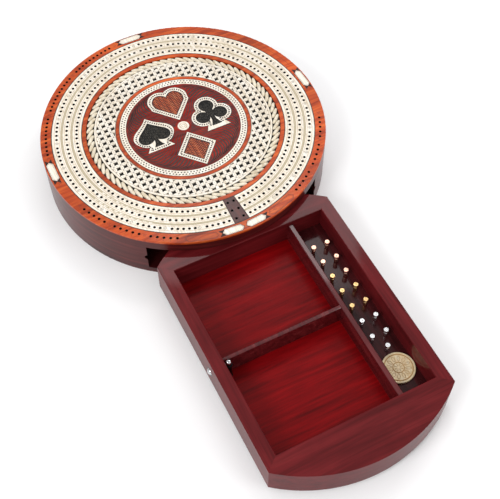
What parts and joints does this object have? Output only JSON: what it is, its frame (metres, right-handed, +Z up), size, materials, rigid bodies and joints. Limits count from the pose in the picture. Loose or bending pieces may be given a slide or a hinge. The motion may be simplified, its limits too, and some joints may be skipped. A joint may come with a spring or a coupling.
{
  "type": "cribbage box with drawer",
  "caption": "Round wooden cribbage box: inlaid board with three peg tracks on top, and a drawer for cards and pegs that slides right through a channel in the drum.",
  "frame": {"origin": "centre of the underside of the drum, on the surface it stands on", "axes": "+Z up through the playing face, +Y to the top of the board, away from the start bar; the drawer is drawn out along -Y, +X to the right"},
  "size_m": [0.3048, 0.5665, 0.0568],
  "materials": {
    "case_lacquer": "gloss lacquer over dark red wood",
    "drawer_lacquer": "gloss lacquer over dark red wood",
    "floor_lacquer": "satin crimson lacquer",
    "bloodwood": "satin oiled",
    "padauk": "satin oiled",
    "maple": "satin",
    "dark_wood": "satin",
    "black_wood": "satin",
    "rosewood": "satin",
    "red_wood": "satin, textured",
    "steel": "polished",
    "black_metal": "satin black",
    "maple_token": "satin",
    "peg_copper": "polished copper",
    "peg_brass": "polished brass",
    "peg_steel": "polished steel"
  },
  "bodies": {
    "casing": {"base_board": "case_lacquer", "left_cheek": "case_lacquer", "right_cheek": "case_lacquer", "catch_strikes": "steel", "top_board": "case_lacquer", "score_ring": "bloodwood", "label_plaques": "maple", "score_plaques": "bloodwood", "plaque_tips": "dark_wood", "track_ring": "maple", "start_bar": "dark_wood", "outer_band": "padauk", "inner_band": "padauk", "dot_ring": "maple", "rope_backing": "black_wood", "rope_ring": "maple", "lattice_backing": "black_wood", "lattice_ring": "maple", "stringing": "black_wood", "centre_disc": "rosewood", "centre_button": "maple", "heart_border": "maple", "heart_inlay": "red_wood", "spade_border": "maple", "spade_inlay": "black_wood", "club_border": "maple", "club_inlay": "black_wood", "diamond_border": "maple", "diamond_inlay": "red_wood"},
    "drawer": {"drawer_front": "drawer_lacquer", "drawer_back": "drawer_lacquer", "drawer_left_side": "drawer_lacquer", "drawer_right_side": "drawer_lacquer", "drawer_floor": "floor_lacquer", "long_divider": "drawer_lacquer", "cross_divider": "drawer_lacquer", "peg_rack": "drawer_lacquer", "corner_post": "black_metal", "corner_post_cap": "steel", "catch_barrels": "steel", "catch_springs": "steel"},
    "left_ball": {"left_catch_ball": "steel"},
    "right_ball": {"right_catch_ball": "steel"},
    "token": {"token": "maple_token"},
    "peg_copper_1": {"peg_copper_1": "peg_copper"},
    "peg_copper_2": {"peg_copper_2": "peg_copper"},
    "peg_copper_3": {"peg_copper_3": "peg_copper"},
    "peg_copper_4": {"peg_copper_4": "peg_copper"},
    "peg_copper_5": {"peg_copper_5": "peg_copper"},
    "peg_brass_1": {"peg_brass_1": "peg_brass"},
    "peg_brass_2": {"peg_brass_2": "peg_brass"},
    "peg_brass_3": {"peg_brass_3": "peg_brass"},
    "peg_brass_4": {"peg_brass_4": "peg_brass"},
    "peg_brass_5": {"peg_brass_5": "peg_brass"},
    "peg_steel_1": {"peg_steel_1": "peg_steel"},
    "peg_steel_2": {"peg_steel_2": "peg_steel"},
    "peg_steel_3": {"peg_steel_3": "peg_steel"},
    "peg_steel_4": {"peg_steel_4": "peg_steel"},
    "peg_steel_5": {"peg_steel_5": "peg_steel"}
  },
  "joints": [
    {"name": "drawer_slide", "type": "slide", "parent": "casing", "child": "drawer", "axis": [0, -1, 0], "range_m": [-0.584, 0.06]},
    {"name": "left_ball_press", "type": "slide", "parent": "drawer", "child": "left_ball", "axis": [-1, 0, 0], "range_m": [-0.0019, 0], "stiffness_N_per_m": 400, "springref_m": 0.002, "deforming": ["catch_springs"]},
    {"name": "right_ball_press", "type": "slide", "parent": "drawer", "child": "right_ball", "axis": [1, 0, 0], "range_m": [-0.0019, 0], "stiffness_N_per_m": 400, "springref_m": 0.002, "deforming": ["catch_springs"]},
    {"name": "token_lift", "type": "slide", "parent": "drawer", "child": "token", "axis": [0, 0, 1], "range_m": [0, 0.06]},
    {"name": "peg_copper_1_lift", "type": "slide", "parent": "drawer", "child": "peg_copper_1", "axis": [0, 0, 1], "range_m": [0, 0.04]},
    {"name": "peg_copper_2_lift", "type": "slide", "parent": "drawer", "child": "peg_copper_2", "axis": [0, 0, 1], "range_m": [0, 0.04]},
    {"name": "peg_copper_3_lift", "type": "slide", "parent": "drawer", "child": "peg_copper_3", "axis": [0, 0, 1], "range_m": [0, 0.04]},
    {"name": "peg_copper_4_lift", "type": "slide", "parent": "drawer", "child": "peg_copper_4", "axis": [0, 0, 1], "range_m": [0, 0.04]},
    {"name": "peg_copper_5_lift", "type": "slide", "parent": "drawer", "child": "peg_copper_5", "axis": [0, 0, 1], "range_m": [0, 0.04]},
    {"name": "peg_brass_1_lift", "type": "slide", "parent": "drawer", "child": "peg_brass_1", "axis": [0, 0, 1], "range_m": [0, 0.04]},
    {"name": "peg_brass_2_lift", "type": "slide", "parent": "drawer", "child": "peg_brass_2", "axis": [0, 0, 1], "range_m": [0, 0.04]},
    {"name": "peg_brass_3_lift", "type": "slide", "parent": "drawer", "child": "peg_brass_3", "axis": [0, 0, 1], "range_m": [0, 0.04]},
    {"name": "peg_brass_4_lift", "type": "slide", "parent": "drawer", "child": "peg_brass_4", "axis": [0, 0, 1], "range_m": [0, 0.04]},
    {"name": "peg_brass_5_lift", "type": "slide", "parent": "drawer", "child": "peg_brass_5", "axis": [0, 0, 1], "range_m": [0, 0.04]},
    {"name": "peg_steel_1_lift", "type": "slide", "parent": "drawer", "child": "peg_steel_1", "axis": [0, 0, 1], "range_m": [0, 0.04]},
    {"name": "peg_steel_2_lift", "type": "slide", "parent": "drawer", "child": "peg_steel_2", "axis": [0, 0, 1], "range_m": [0, 0.04]},
    {"name": "peg_steel_3_lift", "type": "slide", "parent": "drawer", "child": "peg_steel_3", "axis": [0, 0, 1], "range_m": [0, 0.04]},
    {"name": "peg_steel_4_lift", "type": "slide", "parent": "drawer", "child": "peg_steel_4", "axis": [0, 0, 1], "range_m": [0, 0.04]},
    {"name": "peg_steel_5_lift", "type": "slide", "parent": "drawer", "child": "peg_steel_5", "axis": [0, 0, 1], "range_m": [0, 0.04]}
  ]
}
